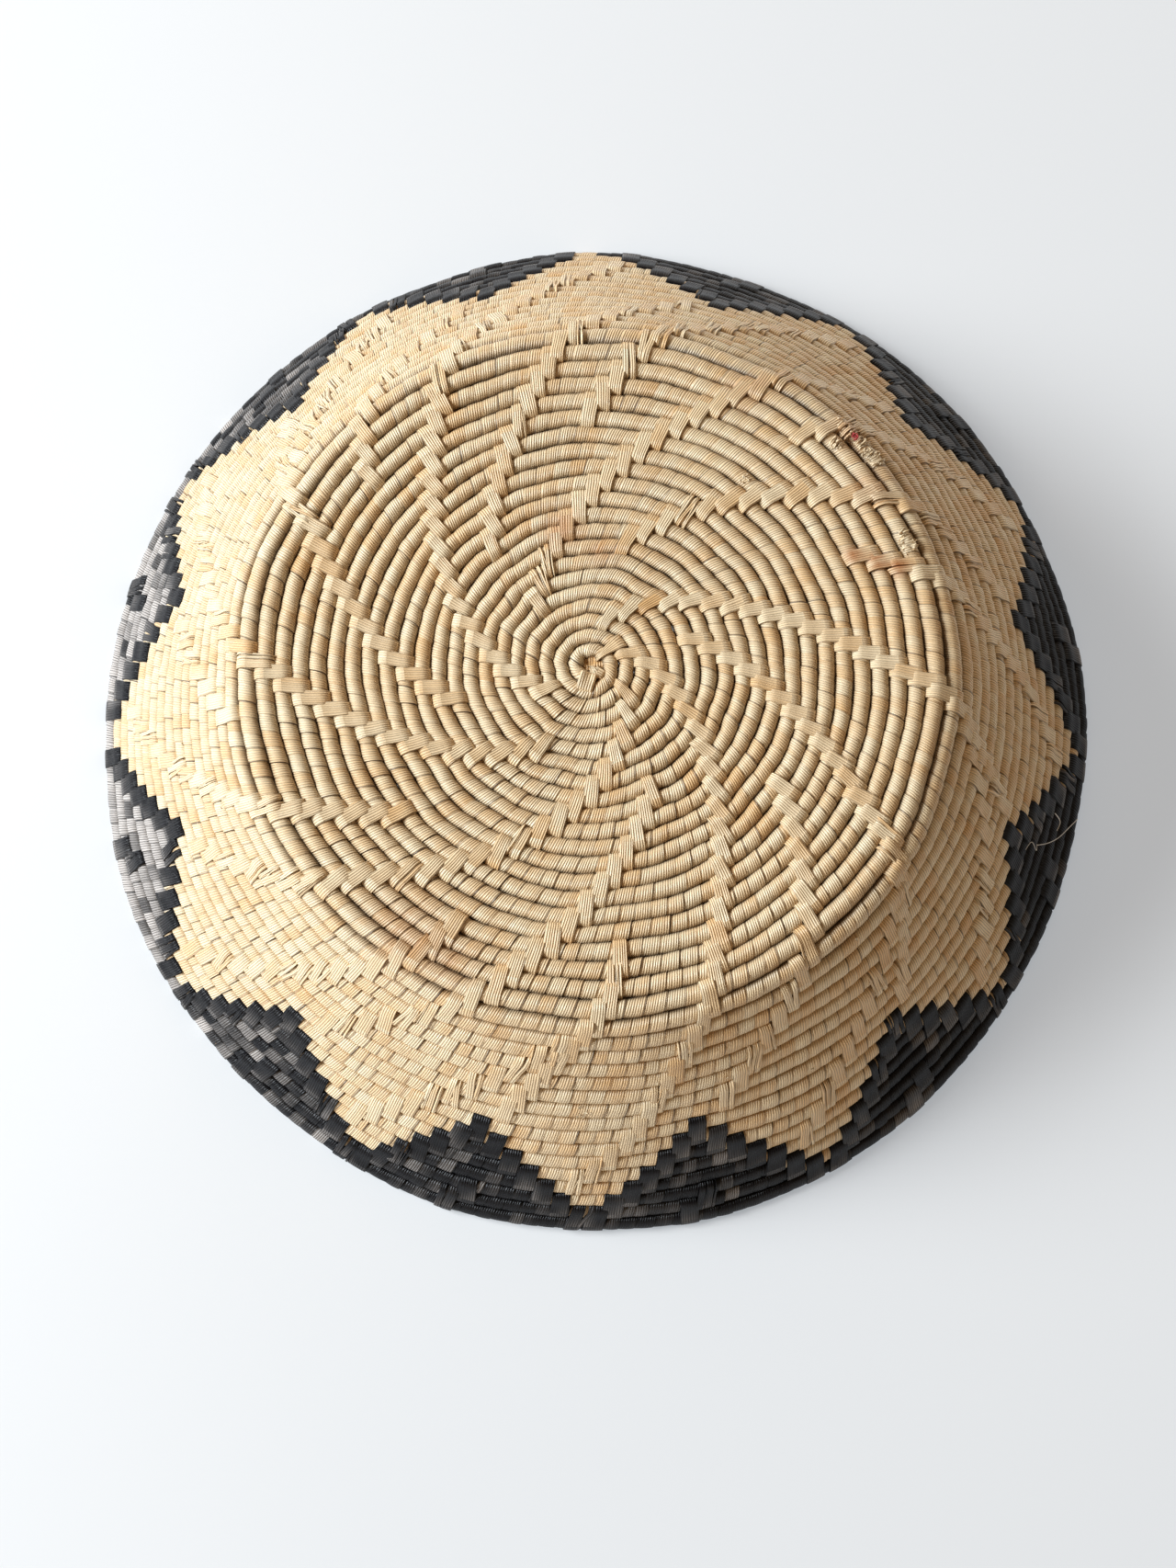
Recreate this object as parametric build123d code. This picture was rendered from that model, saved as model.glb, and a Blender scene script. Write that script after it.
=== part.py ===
from build123d import *
import math
import os

# Coiled palm-leaf basketry shell, millimetres, +Z up.  The origin is the centre of the rim's
# resting plane.  One bundle of fibre winds in a flat spiral (the crown), turns over a rounded
# shoulder and carries on down a conical wall to the rim.  Strips of leaf wrap the bundle, and
# long stitches of the same leaf reach over two rows at a time to tie each row to the one before.
#
# The spiral is made of half turns.  Each half turn is half of a circle, so every tube here is an
# exact torus, and consecutive half turns share their end tangent.  Half turn k starts on +Y when
# k is even and on -Y when k is odd, and runs clockwise seen from above.

# ---- driving dimensions -------------------------------------------------------------------------
RIM_RADIUS = 229.0            # to the centreline of the rim row
SHOULDER_RADIUS = 16.0        # of the curve between crown and wall
WALL_SLOPE = math.radians(53.0)
CROWN_START = 1.1             # flat spiral: radius = start + pitch * turns + growth * turns^2
CROWN_PITCH = 6.55
CROWN_GROWTH = 0.037
CROWN_TURNS = 20              # turns until the shoulder starts
WALL_TURNS = 16               # rows on the wall, the rim row included

STRIP = 0.4                   # thickness of one palm-leaf strip
CLEAR = 0.05                  # free space on each side of a long stitch
SLIP = 0.02                   # free space between the bundle and its wrapping
RIM_FLAT = 0.3                # how far the rim's underside is worn flat
CROWN_ZONES = ((1, 2.50), (14, 2.78), (28, 3.03))   # first half turn, radius of the bundle

CROWN_STITCH_STEP = 0.78      # of the row pitch, from one row's long stitch to the next
WALL_STITCH_STEP = 7.6        # along the row
WALL_STITCH_WIDTH = 7.2
MOTIF_STEP = 7.85             # along the row, by which a dyed triangle widens on each side
MOTIF_STITCH_WIDTH = 7.45
MOTIF_ROWS = 6                # rows from the tip of a triangle to the rim row

# Azimuths are in degrees, clockwise from +X seen from above.
MOTIF_AZIMUTHS = (18.75, 48.0, 77.0, 105.0, 133.0, 162.5, 194.0, 225.0, 255.5, 287.5, 318.5, 350.0)
# One spoke of long stitches runs down to each triangle's tip, and one between each triangle and
# the next.  These are the turns in which they start.
TIP_SPOKE_STARTS = (4, 7, 13, 17, 8, 3, 22, 9, 18, 11, 5, 8)
GAP_SPOKE_STARTS = (23, 22, 2, 23, 17, 14, 5, 22, 3, 16, 19, 17)
GAP_SPOKE_LEAD = 5.0          # degrees short of midway at the tips' row
STITCH_GROUPS = (("crown_stitches_inner", 0, 11), ("crown_stitches_outer", 11, 20),
                 ("wall_stitches_upper", 20, 28), ("wall_stitches_lower", 28, 37))
COIL_END_STEPS = (60.0, 90.0, 115.0)   # degrees past the rim row's end at which it gets thinner

START_HALF_TURN = 1           # the coil starts half a turn out from the centre
KNOT_WIDTH = 1.1              # of the eye's radius
KNOT_DEPTH = 0.8              # of the eye's radius
KNOT_HEIGHT = 1.6             # of the row's radius

# ---- derived ------------------------------------------------------------------------------------
BAND_GAP = STRIP + 2 * CLEAR                  # left between rows for the long stitches
LAST_EVEN = 2 * (CROWN_TURNS + WALL_TURNS)    # the last half turn
CROWN_LAST = 2 * CROWN_TURNS - 1              # last half turn that lies in the crown's plane


def spiral_radius(turns):
    return CROWN_START + CROWN_PITCH * turns + CROWN_GROWTH * turns**2


FLAT_RADIUS = spiral_radius(CROWN_TURNS)
SHOULDER_LENGTH = SHOULDER_RADIUS * WALL_SLOPE
SHOULDER_RUN = SHOULDER_RADIUS * math.sin(WALL_SLOPE)
SHOULDER_DROP = SHOULDER_RADIUS * (1 - math.cos(WALL_SLOPE))
WALL_LENGTH = (RIM_RADIUS - FLAT_RADIUS - SHOULDER_RUN) / math.cos(WALL_SLOPE)
CENTRE_DROP = SHOULDER_DROP + WALL_LENGTH * math.sin(WALL_SLOPE)
PROFILE_LENGTH = FLAT_RADIUS + SHOULDER_LENGTH + WALL_LENGTH


def profile(length):
    """Radius and drop of the rows' middle surface, that far along it from the centre."""
    if length <= FLAT_RADIUS:
        return length, 0.0
    bend = length - FLAT_RADIUS
    if bend <= SHOULDER_LENGTH:
        turned = bend / SHOULDER_RADIUS
        return (FLAT_RADIUS + SHOULDER_RADIUS * math.sin(turned),
                SHOULDER_RADIUS * (1 - math.cos(turned)))
    run = bend - SHOULDER_LENGTH
    return (FLAT_RADIUS + SHOULDER_RUN + run * math.cos(WALL_SLOPE),
            SHOULDER_DROP + run * math.sin(WALL_SLOPE))


def station(k):
    """Signed radius along Y, and drop below the crown's plane, where half turn k starts."""
    first = 2 * CROWN_TURNS + k % 2
    if k <= first:
        length = spiral_radius(k / 2)
    else:
        start = spiral_radius(first / 2)
        length = start + (k - first) / 2 * (PROFILE_LENGTH - start) / WALL_TURNS
    radius, drop = profile(length)
    return (radius if k % 2 == 0 else -radius), drop


def row_distance(k):
    """Distance from the start of half turn k to the row inside it."""
    here, before = station(k), station(k - 2)
    return math.dist(here, before)


WALL_ROW = (min(row_distance(k) for k in range(CROWN_LAST + 3, LAST_EVEN + 2)) - BAND_GAP) / 2
WALL_BUNDLE = WALL_ROW - STRIP - SLIP
RIM_HEIGHT = WALL_ROW - RIM_FLAT              # centreline of the rim row above the table
CROWN_HEIGHT = RIM_HEIGHT + CENTRE_DROP       # centreline of the crown's rows


def row_radius(k):
    """Outer radius of the wrapped row in half turn k.  It is the same for a whole turn."""
    if k > CROWN_LAST:
        return WALL_ROW
    turn_start = max(k - k % 2, 4)
    return min((row_distance(turn_start) - BAND_GAP) / 2, WALL_ROW + CLEAR)


def bundle_radius(k):
    if k > CROWN_LAST:
        return WALL_BUNDLE
    return [radius for first, radius in CROWN_ZONES if k >= first][-1]


class HalfTurn:
    """The circle that half turn k runs along."""

    def __init__(self, k):
        y0, drop0 = station(k)
        y1, drop1 = station(k + 1)
        start = Vector(0, y0, CROWN_HEIGHT - drop0)
        end = Vector(0, y1, CROWN_HEIGHT - drop1)
        self.centre = (start + end) * 0.5
        self.radius = (start - end).length / 2
        self.out = (start - end).normalized()
        self.travel = Vector(1 if k % 2 == 0 else -1, 0, 0)
        self.up = self.travel.cross(self.out)
        self.place = Plane(origin=self.centre, x_dir=self.out, z_dir=self.up).location

    def outward(self, angle):
        turned = math.radians(angle)
        return self.out * math.cos(turned) + self.travel * math.sin(turned)

    def point(self, angle):
        return self.centre + self.outward(angle) * self.radius

    def sweep(self, section, start, end):
        """Carry a section, drawn as (outward, up) from the circle's centre, along the row."""
        body = revolve(Plane.XZ * section, Axis.Z, revolution_arc=end - start)
        return self.place * (Rot(0, 0, -end) * body)

    def see(self, other, angle):
        """Where another half turn crosses this one's section plane: (outward, up)."""
        out = self.outward(angle)
        along = self.outward(angle + 90)
        guess = angle
        for _ in range(4):
            off = (other.point(guess) - self.centre).dot(along)
            guess -= math.degrees(off / other.radius)
        found = other.point(guess) - self.centre
        return found.dot(out), found.dot(self.up)


TURNS = {k: HalfTurn(k) for k in range(START_HALF_TURN, LAST_EVEN + 1)}


def tube(k, outer, inner=0.0, start=0.0, end=180.0):
    section = Circle(outer)
    if inner:
        section -= Circle(inner)
    return TURNS[k].sweep(Pos(TURNS[k].radius, 0) * section, start, end)


def wrapping(k, start=0.0, end=180.0):
    return tube(k, row_radius(k), bundle_radius(k) + SLIP, start, end)


def locate(turns):
    """Half turn and angle along it for a place given in turns."""
    k = min(math.floor(turns * 2), LAST_EVEN)
    return k, (turns - k / 2) * 360


def long_stitch(turns, width):
    """A band around the row at this place and the row inside it."""
    k, angle = locate(turns)
    row, inside = TURNS[k], TURNS[k - 2]
    x, z = row.see(inside, angle)
    dx, dz = x - row.radius, z
    reach = max(row_radius(k), row_radius(k - 2)) + CLEAR
    span = math.hypot(dx, dz)
    band = SlotCenterToCenter(span, 2 * (reach + STRIP)) - SlotCenterToCenter(span, 2 * reach)
    band = Pos(row.radius + dx / 2, dz / 2) * Rot(0, 0, math.degrees(math.atan2(dz, dx))) * band
    half = math.degrees(width / 2 / row.radius)
    return row.sweep(band, angle - half, angle + half)


def turns_at(turn, azimuth):
    """The place in this turn that has this azimuth; a turn starts on +Y."""
    return turn + (azimuth - 270.0) % 360.0 / 360.0


def path_radius(turns):
    k, angle = locate(turns)
    place = TURNS[k].point(angle)
    return math.hypot(place.X, place.Y)


def joined(pieces):
    return pieces[0].fuse(*pieces[1:])


def solids_of(shapes):
    return [solid for shape in shapes for solid in shape.solids()]


# ---- where the dyed triangles are ---------------------------------------------------------------
RIM_TURN = CROWN_TURNS + WALL_TURNS
TIP_TURN = RIM_TURN - MOTIF_ROWS
COIL_STOP = RIM_TURN + 0.5


def motif_edges(azimuth, row):
    """Places of the two edge stitches of a triangle, that many rows below its tip."""
    middle = turns_at(TIP_TURN, azimuth)
    reach = sum(MOTIF_STEP / (2 * math.pi * path_radius(middle + r)) for r in range(row))
    return middle + row - reach, middle + row + reach


def dyed_stitch_places(azimuth):
    places = [turns_at(TIP_TURN, azimuth)]
    for row in range(1, MOTIF_ROWS + 1):
        places += motif_edges(azimuth, row)
    places.append(turns_at(RIM_TURN - 1, azimuth))
    return [t for t in places if t <= COIL_STOP]


DYED_STRETCHES = sorted(motif_edges(azimuth, row)
                        for azimuth in MOTIF_AZIMUTHS for row in range(1, MOTIF_ROWS))
DYED_STITCHES = [t for azimuth in MOTIF_AZIMUTHS for t in dyed_stitch_places(azimuth)]


def spans(first, last):
    """Cut a stretch of the coil at the half turns' ends: (half turn, start, end)."""
    pieces = []
    while last - first > 1e-9:
        k = math.floor(first * 2 + 1e-9)
        stop = min(last, (k + 1) / 2)
        pieces.append((k, (first - k / 2) * 360, (stop - k / 2) * 360))
        first = stop
    return pieces


def natural_stretches(first, last):
    """What the dyed stretches leave of this stretch of the coil."""
    left = []
    for dyed_first, dyed_last in DYED_STRETCHES:
        if dyed_last > first and dyed_first < last:
            if dyed_first > first:
                left.append((first, dyed_first))
            first = dyed_last
    if first < last:
        left.append((first, last))
    return left


# ---- long stitches ------------------------------------------------------------------------------
def stitch_step(turns):
    """How far along the row each long stitch of a spoke lies from the one before."""
    if turns >= CROWN_TURNS:
        return WALL_STITCH_STEP
    return CROWN_STITCH_STEP * row_distance(max(math.floor(turns * 2), 3))


def stitch_width(turns):
    return stitch_step(turns) - (WALL_STITCH_STEP - WALL_STITCH_WIDTH)


def clear_of_dyed(turns):
    """True where a natural stitch has room beside the dyed ones on both of its rows."""
    room = (MOTIF_STITCH_WIDTH + WALL_STITCH_WIDTH) / 2 / (2 * math.pi * path_radius(turns))
    return all(abs(turns - dyed + shift) > room for dyed in DYED_STITCHES for shift in (-1, 0, 1))


def spoke(azimuth, start_turn):
    """Places of the natural long stitches of one spoke, in turns."""
    tip = turns_at(TIP_TURN, azimuth)
    places = []
    here = tip
    while here >= start_turn:
        places.append(here)
        here -= 1
        here -= stitch_step(here) / (2 * math.pi * path_radius(here))
    here = tip
    while here + 1 < RIM_TURN:
        here += 1 + stitch_step(here) / (2 * math.pi * path_radius(here))
        places.append(here)
    return sorted(t for t in places if clear_of_dyed(t))


def midway(index):
    here = MOTIF_AZIMUTHS[index]
    beyond = MOTIF_AZIMUTHS[(index + 1) % len(MOTIF_AZIMUTHS)]
    return here + (beyond - here) % 360 / 2 - GAP_SPOKE_LEAD


NATURAL_STITCHES = []
for index, azimuth in enumerate(MOTIF_AZIMUTHS):
    NATURAL_STITCHES += [t for t in spoke(azimuth, TIP_SPOKE_STARTS[index]) if t < TIP_TURN + 1]
    NATURAL_STITCHES += spoke(midway(index), GAP_SPOKE_STARTS[index])

# ---- pieces -------------------------------------------------------------------------------------
BELOW_TABLE = Pos(0, 0, -25) * Box(3 * RIM_RADIUS, 3 * RIM_RADIUS, 50)


def on_table(shape):
    """Wear the underside flat where a piece would reach below the table."""
    return shape - BELOW_TABLE if shape.bounding_box().min.Z < 0 else shape


def start_knot():
    """Folded strip end in the eye of the spiral, beside the coil's blunt start."""
    eye = TURNS[2]
    inner = eye.radius - row_radius(2) - 2 * CLEAR
    width, depth = KNOT_WIDTH * inner, KNOT_DEPTH * inner
    knot = Box(width, depth, KNOT_HEIGHT * row_radius(2), align=(Align.CENTER, Align.MIN, Align.CENTER))
    knot = fillet(knot.edges().filter_by(Axis.Z), depth / 5)
    return Pos(CLEAR, eye.centre.Y, CROWN_HEIGHT) * Rot(0, 0, -90) * knot


def coil_end():
    """The bundle's thinned end, in steps, under the row that comes down to the rim."""
    above = TURNS[LAST_EVEN - 1]
    pieces = []
    start = 0.0
    for end in COIL_END_STEPS:
        place = above.point(end)
        rise = place.Z - (WALL_ROW + BAND_GAP) * math.sin(WALL_SLOPE)
        thickness = rise / (1 + math.sin(WALL_SLOPE))
        reach = WALL_ROW + BAND_GAP + thickness
        radius = math.hypot(place.X, place.Y) + reach * math.cos(WALL_SLOPE)
        section = Plane.XZ * Pos(radius, thickness + CLEAR) * Circle(thickness)
        body = revolve(section, Axis.Z, revolution_arc=end - start)
        pieces.append(Rot(0, 0, 270 - end) * body)
        start = end
    return joined(solids_of(pieces))


def foundation(first, last):
    """The bundle of fibre through these half turns, as one solid."""
    return joined([tube(k, bundle_radius(k)) for k in range(first, last + 1)])


def build():
    parts = {"start_knot": start_knot(),
             "crown_foundation": foundation(START_HALF_TURN, CROWN_LAST),
             "wall_foundation": foundation(CROWN_LAST + 1, LAST_EVEN),
             "coil_end": coil_end(),
             "rim_turn": on_table(wrapping(LAST_EVEN))}
    for turn in range(1, RIM_TURN):
        first = START_HALF_TURN / 2 if turn == 1 else turn
        wraps = [on_table(wrapping(*span)) for stretch in natural_stretches(first, turn + 1)
                 for span in spans(*stretch)]
        where = "crown" if turn < CROWN_TURNS else "wall"
        parts[f"{where}_turn_{turn:02d}"] = Compound(children=solids_of(wraps))
    for number, azimuth in enumerate(MOTIF_AZIMUTHS, start=1):
        dyed = [on_table(wrapping(*span)) for row in range(1, MOTIF_ROWS)
                for span in spans(*motif_edges(azimuth, row))]
        dyed += [on_table(long_stitch(t, MOTIF_STITCH_WIDTH)) for t in dyed_stitch_places(azimuth)]
        parts[f"motif_{number:02d}"] = Compound(children=solids_of(dyed))
    for name, first, last in STITCH_GROUPS:
        bands = [on_table(long_stitch(t, stitch_width(t))) for t in NATURAL_STITCHES if first <= t < last]
        parts[name] = Compound(children=solids_of(bands))
    return parts


os.makedirs("parts", exist_ok=True)
for name, shape in build().items():
    export_step(shape, f"parts/{name}.step")
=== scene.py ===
"""Coiled palm-leaf basketry shell, resting rim down on a pale table.

Lengths are millimetres in the geometry code and become metres when a mesh is made.  A place
along the coil is given in turns: whole numbers lie on +Y and it winds clockwise seen from above.
"""
import math

import bpy
import numpy as np
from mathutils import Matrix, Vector


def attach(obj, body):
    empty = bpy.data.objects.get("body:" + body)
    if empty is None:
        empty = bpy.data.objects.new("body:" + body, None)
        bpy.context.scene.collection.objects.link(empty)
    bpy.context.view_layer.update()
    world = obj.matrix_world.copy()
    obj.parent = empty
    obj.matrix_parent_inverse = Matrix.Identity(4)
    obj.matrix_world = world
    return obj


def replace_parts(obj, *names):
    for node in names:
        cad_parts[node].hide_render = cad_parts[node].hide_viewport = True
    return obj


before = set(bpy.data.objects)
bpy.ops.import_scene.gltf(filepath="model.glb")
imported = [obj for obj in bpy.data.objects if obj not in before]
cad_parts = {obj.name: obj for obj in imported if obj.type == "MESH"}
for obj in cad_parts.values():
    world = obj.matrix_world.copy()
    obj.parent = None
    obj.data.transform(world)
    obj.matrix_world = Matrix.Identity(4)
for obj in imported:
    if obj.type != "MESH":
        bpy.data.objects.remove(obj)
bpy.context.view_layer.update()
rng = np.random.default_rng(41)

# ---- the coil, as the CAD frame has it ---------------------------------------------------------
RIM_RADIUS = 229.0
SHOULDER_RADIUS = 16.0
WALL_SLOPE = math.radians(53.0)
CROWN_TURNS = 20
WALL_TURNS = 16
RIM_TURN = CROWN_TURNS + WALL_TURNS
TIP_TURN = 30
CROWN_TOP = 101.3
EYE_RADIUS = 1.1
CROWN_PITCH = 6.55
PITCH_GROWTH = 0.037
MOTIF_AZIMUTHS = (18.75, 48.0, 77.0, 105.0, 133.0, 162.5, 194.0, 225.0, 255.5, 287.5, 318.5, 350.0)
# The turn where each slanting line of stitches starts: those that meet a motif's tip, then those between.
TIP_SPOKE_STARTS = (4, 7, 14, 18, 9, 3, 22, 9, 18, 10, 5, 9)
GAP_SPOKE_STARTS = (23, 22, 2, 23, 18, 15, 6, 22, 3, 16, 20, 18)
# The lines between the motifs stand this many degrees before the middle of the gap.
GAP_SPOKE_LEAD = 5.0
# How many degrees each line lags at its start and at the crown's edge.
TIP_SPOKE_LAGS = ((26, 12.5), (19.5, 11.5), (3, 2), (14, 11), (1, 1.5), (0.5, 5), (0, 0), (8, 12), (-2, -2),
                  (2, 1.5), (4, 7), (4, 5.5))
GAP_SPOKE_LAGS = ((0, 0), (0, 0), (26, 12), (0, 0), (8.5, 6), (11, 9), (4, 4), (0, 0), (5, 3.5), (7.5, 6.5),
                  (10.5, 10.5), (10.8, 10.8))
COIL_START = 0.2
TAPER_START = 36.90
COIL_STOP = 36.985

# ---- the wraps and rows, which CAD draws as plain tubes ------------------------------------------
STRIP_WIDTH = 7.4
STRIP_WIDTH_SPREAD = 0.85
STRIP_WIDTH_LIMITS = (5.4, 9.4)
STRIP_EDGE = 0.30
ROUND_STEPS = 18
# Where a wrap's points lie across it, as shares of its width; the last reach under the next wrap.
ACROSS = np.array([-0.004, 0.0, 0.03, 0.075, 0.3, 0.55, 0.8, 0.95, 1.03])
# The power of a row's section: 2 is a circle and more is squarer.
CROWN_ROUNDNESS = 1.95
WALL_ROUNDNESS = 2.9
ROW_SPACE = (6.3, 8.4)
FIRST_ROW_SPACE = 6.5
THINNEST_ROW = 0.9
# How rows wander from their place: amount, waves and phase.
ROW_WANDER = ((0.20, 43.0, 0.0), (0.16, 107.0, 1.0), (0.12, 231.0, 2.0))
# How far a row reaches into its neighbour, so that no light comes through.
ROW_SQUEEZE = 0.16
# The first turns sit this far to one side of the shell's middle, fading out over this length.
EYE_SHIFT = -2.6
EYE_REACH = 50
# The rim is a little narrow in X and long in Y.
RIM_STRETCH = (-0.008, 0.018)


def spiral_radius(turns):
    return EYE_RADIUS + CROWN_PITCH * turns + PITCH_GROWTH * turns**2


FLAT_RADIUS = spiral_radius(CROWN_TURNS)
SHOULDER_LENGTH = SHOULDER_RADIUS * WALL_SLOPE
SHOULDER_RUN = SHOULDER_RADIUS * math.sin(WALL_SLOPE)
SHOULDER_DROP = SHOULDER_RADIUS * (1 - math.cos(WALL_SLOPE))
WALL_LENGTH = (RIM_RADIUS - FLAT_RADIUS - SHOULDER_RUN) / math.cos(WALL_SLOPE)
PROFILE_LENGTH = FLAT_RADIUS + SHOULDER_LENGTH + WALL_LENGTH


def smooth(x, low, high):
    t = np.clip((x - low) / (high - low), 0, 1)
    return t * t * (3 - 2 * t)


def row_length(turns):
    """Distance from the centre along the shell's profile to the row at this place."""
    turns = np.asarray(turns, float)
    part = turns - np.floor(turns)
    lap = np.floor(turns) - CROWN_TURNS
    top = spiral_radius(CROWN_TURNS + part)
    rows = WALL_TURNS - smooth(part, TAPER_START - RIM_TURN, 1.0)
    on_wall = top + lap * (PROFILE_LENGTH - top) / rows
    return np.where(turns < CROWN_TURNS, spiral_radius(turns), on_wall)


def profile(length):
    """Radius, height and outward slope angle of the shell's middle surface."""
    length = np.asarray(length, float)
    turned = np.clip((length - FLAT_RADIUS) / SHOULDER_RADIUS, 0, WALL_SLOPE)
    run = np.maximum(length - FLAT_RADIUS - SHOULDER_LENGTH, 0)
    radius = np.minimum(length, FLAT_RADIUS) + SHOULDER_RADIUS * np.sin(turned) + run * math.cos(WALL_SLOPE)
    height = CROWN_TOP - SHOULDER_RADIUS * (1 - np.cos(turned)) - run * math.sin(WALL_SLOPE)
    return radius, height, turned


def warp(points, length):
    """The handmade unevenness of the whole shell."""
    x, y, z = points[..., 0], points[..., 1], points[..., 2]
    azimuth = np.arctan2(y, x)
    down = smooth(length, 0.55 * PROFILE_LENGTH, PROFILE_LENGTH)
    radius = np.hypot(x, y)
    swell = 1 + 0.0035 * down * np.sin(4 * azimuth + 0.6) + 0.002 * down * np.sin(7 * azimuth + 2.0)
    ripple = 0.35 * np.sin(9 * azimuth + length / 21) + 0.25 * np.sin(13 * azimuth - length / 15)
    swell = swell + ripple / np.maximum(radius, 40)
    lift = (1 - down) * (0.5 * np.sin(2 * azimuth + 1.2) + 0.45 * np.sin(5 * azimuth + length / 33)
                         - 1.3 * np.cos(np.minimum(length / 150, 1) * math.pi / 2))
    aside = EYE_SHIFT * np.exp(-(length / EYE_REACH)**2)
    wide, long = (1 + stretch * down for stretch in RIM_STRETCH)
    return np.stack([x * swell * wide + aside, y * swell * long, z + lift], axis=-1)


# Distance along the coil against turns, for placing wraps by their width.
TURN_TABLE = np.linspace(COIL_START, COIL_STOP, 26000)
TABLE_RADIUS = profile(row_length(TURN_TABLE))[0]
RUN_TABLE = np.concatenate([[0], np.cumsum(
    np.diff(TURN_TABLE) * math.pi * (TABLE_RADIUS[1:] + TABLE_RADIUS[:-1]))])


def run_at(turns):
    return np.interp(turns, TURN_TABLE, RUN_TABLE)


def turns_along(run):
    return np.interp(run, RUN_TABLE, TURN_TABLE)


def row_size(turns):
    """Half the space that the row has, which thins away where the coil ends."""
    turns = np.asarray(turns, float)
    back = row_length(turns) - row_length(np.maximum(turns - 1, 0.3))
    back = np.where(turns < 1.4, FIRST_ROW_SPACE, back)
    return 0.5 * np.clip(back, *ROW_SPACE) + ROW_SQUEEZE * (1 - smooth(turns, RIM_TURN - 1, RIM_TURN - 0.5))


def row_state(turns):
    """(profile length, half size) of the row, its tapering end included."""
    turns = np.asarray(turns, float)
    length, size = row_length(turns), row_size(turns)
    above = row_length(turns - 1)
    room = np.clip(PROFILE_LENGTH - above, THINNEST_ROW, ROW_SPACE[1]) / 2
    ending = turns > TAPER_START
    size = np.where(ending, np.minimum(size, room), size)
    length = np.where(ending, np.minimum(length, above + 4.0 + room * 0.98), length)
    wander = sum(amount * np.sin(turns * waves + phase) for amount, waves, phase in ROW_WANDER)
    return length + wander * (1 - smooth(turns, RIM_TURN - 0.6, RIM_TURN)), size


def squareness(around, turns):
    """How far a row's section reaches, next to a circle: the rows are pressed square on the wall."""
    pressed = smooth(turns, CROWN_TURNS - 0.5, CROWN_TURNS + 4)
    power = CROWN_ROUNDNESS + (WALL_ROUNDNESS - CROWN_ROUNDNESS) * pressed
    return (np.abs(np.cos(around))**power + np.abs(np.sin(around))**power)**(-1 / power)


def place(turns, around, lift):
    """Points at these places, at angle `around` from straight out of the shell, that far out.

    `around` is 0 on the outside of the shell and grows towards the rim.
    """
    length, size = row_state(turns)
    radius, height, slope = profile(length)
    reach = size * squareness(around, turns) + lift
    out, along = reach * np.cos(around), reach * np.sin(around)
    radius = radius + out * np.sin(slope) + along * np.cos(slope)
    height = height + out * np.cos(slope) - along * np.sin(slope)
    turn = 2 * math.pi * np.asarray(turns)
    points = np.stack([radius * np.sin(turn), radius * np.cos(turn), height], axis=-1)
    return on_table(warp(points, np.broadcast_to(length, points.shape[:-1])))


def on_table(points):
    """Rests the rim: nothing goes through the table."""
    points[..., 2] = np.maximum(points[..., 2], 0.0)
    return points


# ---- where the stitches and dyed stretches are --------------------------------------------------
def turns_at(turn, azimuth):
    return turn + (azimuth - 270.0) % 360.0 / 360.0


def radius_at(turns):
    return float(profile(row_length(turns))[0])


def step_turns(step, turns):
    return step / (2 * math.pi * radius_at(turns))


MOTIF_STEP = 8.0
MOTIF_STITCH = 9.3
MOTIF_ROWS = RIM_TURN - TIP_TURN
RIM_STITCH_LAG = 2.2
WALL_STEP = 7.6
CROWN_STEP_SHARE = 0.78


def motif_edges(azimuth, row):
    """Where the dyed stretch of a motif begins and ends, this many rows below its tip."""
    middle = turns_at(TIP_TURN, azimuth)
    reach = sum(step_turns(MOTIF_STEP, middle + r) for r in range(row))
    return middle + row - reach, middle + row + reach


def dyed_stitches(azimuth):
    places = [turns_at(TIP_TURN, azimuth)]
    for row in range(1, MOTIF_ROWS + 1):
        places += motif_edges(azimuth, row)
    places += [turns_at(RIM_TURN - 1, azimuth), turns_at(RIM_TURN, azimuth + RIM_STITCH_LAG)]
    return [t for t in places if t < COIL_STOP - 0.012]


def stitch_step(turns):
    """How far a line of stitches moves along the coil from one row to the next."""
    if turns >= CROWN_TURNS:
        return WALL_STEP
    return CROWN_STEP_SHARE * (row_length(turns + 0.5) - row_length(turns - 0.5))


def clear_of_dyed(turns, dyed):
    room = step_turns(WALL_STEP, turns)
    return all(abs(turns - other + shift) > room for other in dyed for shift in (-1, 0, 1))


def spoke(azimuth, start_turn, lags, dyed):
    """Turns of one slanting line of stitches.

    On the crown it lags by `lags` and starts a step early, and both fade out at the row of the tips.
    """
    tip = turns_at(TIP_TURN, azimuth)
    places = []
    here = tip
    while here >= start_turn:
        places.append(here)
        here -= 1
        here -= step_turns(stitch_step(here), here)
    here = tip
    while here + 1 < RIM_TURN:
        here += 1 + step_turns(stitch_step(here), here)
        places.append(here)
    bends = (start_turn, max(CROWN_TURNS, start_turn), TIP_TURN)
    moved = []
    for turns in places:
        if clear_of_dyed(turns, dyed):
            late = np.interp(turns, bends, (*lags, 0)) / 360
            early = step_turns(stitch_step(turns), turns)
            early *= np.interp(turns, (CROWN_TURNS, TIP_TURN), (1, 0))
            moved.append(turns + late - early)
    return sorted(moved)


def midway(index):
    """The azimuth of the line of stitches between this motif and the next."""
    here = MOTIF_AZIMUTHS[index]
    beyond = MOTIF_AZIMUTHS[(index + 1) % len(MOTIF_AZIMUTHS)]
    return here + (beyond - here) % 360 / 2 - GAP_SPOKE_LEAD


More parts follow.
